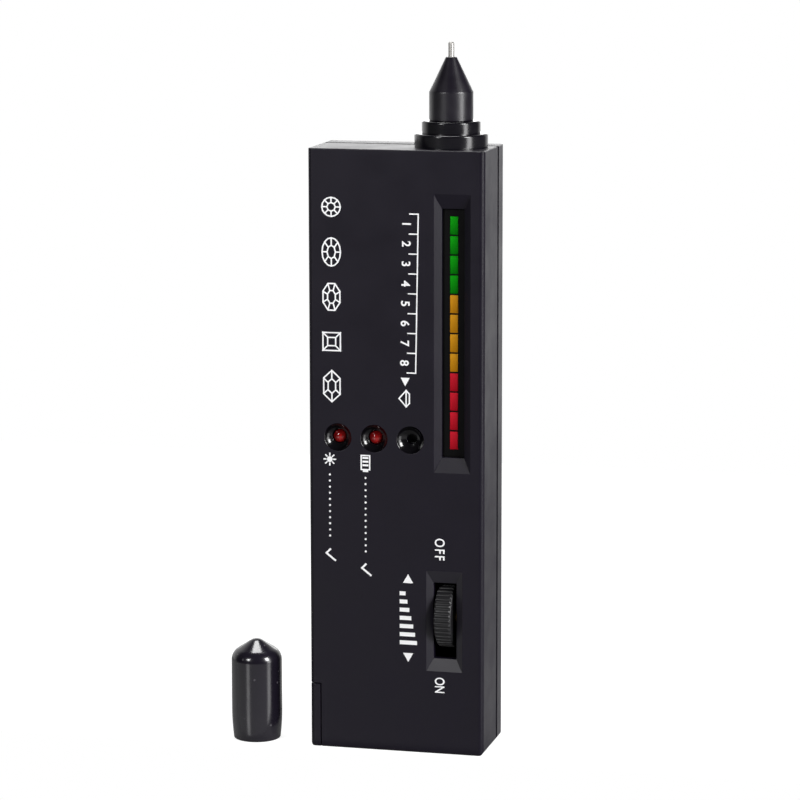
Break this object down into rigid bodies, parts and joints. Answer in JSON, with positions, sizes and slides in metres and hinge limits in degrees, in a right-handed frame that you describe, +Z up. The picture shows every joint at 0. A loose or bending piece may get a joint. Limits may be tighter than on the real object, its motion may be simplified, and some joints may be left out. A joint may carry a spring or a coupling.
{
  "type": "handheld diamond tester",
  "caption": "Flat pen-like gem tester: two-shell case with a bar of indicator lamps, dished signal lamps, a volume thumbwheel, a sprung probe and a slip-on tip cap.",
  "frame": {"origin": "middle of the case's bottom end, at mid-width and mid-thickness", "axes": "+Z up along the case to the probe, +X to the right seen from the front, the front faces -Y"},
  "size_m": [0.0687, 0.0245, 0.1825],
  "materials": {
    "case_plastic": "fine satin texture",
    "holder_black": "dull",
    "led_green": "diffuse lens",
    "led_amber": "diffuse lens",
    "led_red": "diffuse lens",
    "lamp_red": "tinted lens",
    "board": "solder mask",
    "part_black": "moulded",
    "capacitor_sleeve": "shrunk sleeve",
    "screw_steel": "zinc plated",
    "wheel_plastic": "satin",
    "spindle_brass": "turned",
    "control_body": "laminate",
    "battery_can": "wrapped can",
    "terminal_plate": "plated",
    "lead_red": "insulation",
    "lead_black": "insulation",
    "lead_white": "insulation",
    "collar_gloss": "gloss",
    "nose_satin": "satin",
    "pin_metal": "plated pin",
    "heater_copper": "plain",
    "spring_steel": "drawn wire",
    "plug_white": "plain",
    "cap_vinyl": "glossy dipped vinyl"
  },
  "bodies": {
    "case": {"front_shell": "case_plastic", "rear_shell": "case_plastic", "case_screws": "screw_steel", "circuit_board": "board", "board_screws": "screw_steel", "led_holder": "holder_black", "bar_led_1": "led_green", "bar_led_2": "led_green", "bar_led_3": "led_green", "bar_led_4": "led_green", "bar_led_5": "led_amber", "bar_led_6": "led_amber", "bar_led_7": "led_amber", "bar_led_8": "led_amber", "bar_led_9": "led_red", "bar_led_10": "led_red", "bar_led_11": "led_red", "bar_led_12": "led_red", "ready_lamp": "lamp_red", "battery_lamp": "lamp_red", "buzzer": "part_black", "display_driver_a": "part_black", "display_driver_b": "part_black", "amplifier_chip": "part_black", "capacitor_a": "capacitor_sleeve", "capacitor_b": "capacitor_sleeve", "volume_control": "control_body", "battery": "battery_can", "battery_terminals": "terminal_plate", "battery_snap": "part_black", "battery_lead_red": "lead_red", "battery_lead_black": "lead_black", "probe_collar": "collar_gloss", "probe_nose": "nose_satin", "probe_spring": "spring_steel", "probe_plug": "plug_white", "probe_lead_a": "lead_white", "probe_lead_b": "lead_red"},
    "wheel": {"thumbwheel": "wheel_plastic", "wheel_spindle": "spindle_brass", "wheel_screw": "screw_steel"},
    "pin": {"probe_tip": "pin_metal", "probe_heater": "heater_copper"},
    "door": {"battery_door": "case_plastic"},
    "cap": {"tip_cap": "cap_vinyl"}
  },
  "joints": [
    {"name": "wheel_turn", "type": "hinge", "parent": "case", "child": "wheel", "pos_m": [0.0125, -0.00485, 0.0357], "axis": [1, 0, 0], "range_deg": [0, 290]},
    {"name": "pin_press", "type": "slide", "parent": "case", "child": "pin", "axis": [0, 0, -1], "range_m": [0, 0.0015], "stiffness_N_per_m": 400, "springref_m": -0.001, "deforming": ["probe_spring"]},
    {"name": "door_slide", "type": "slide", "parent": "case", "child": "door", "axis": [0, 0, -1], "range_m": [0, 0.026]},
    {"name": "cap_lift", "type": "slide", "parent": "case", "child": "cap", "axis": [0, 0, 1], "range_m": [0, 0.05]}
  ]
}
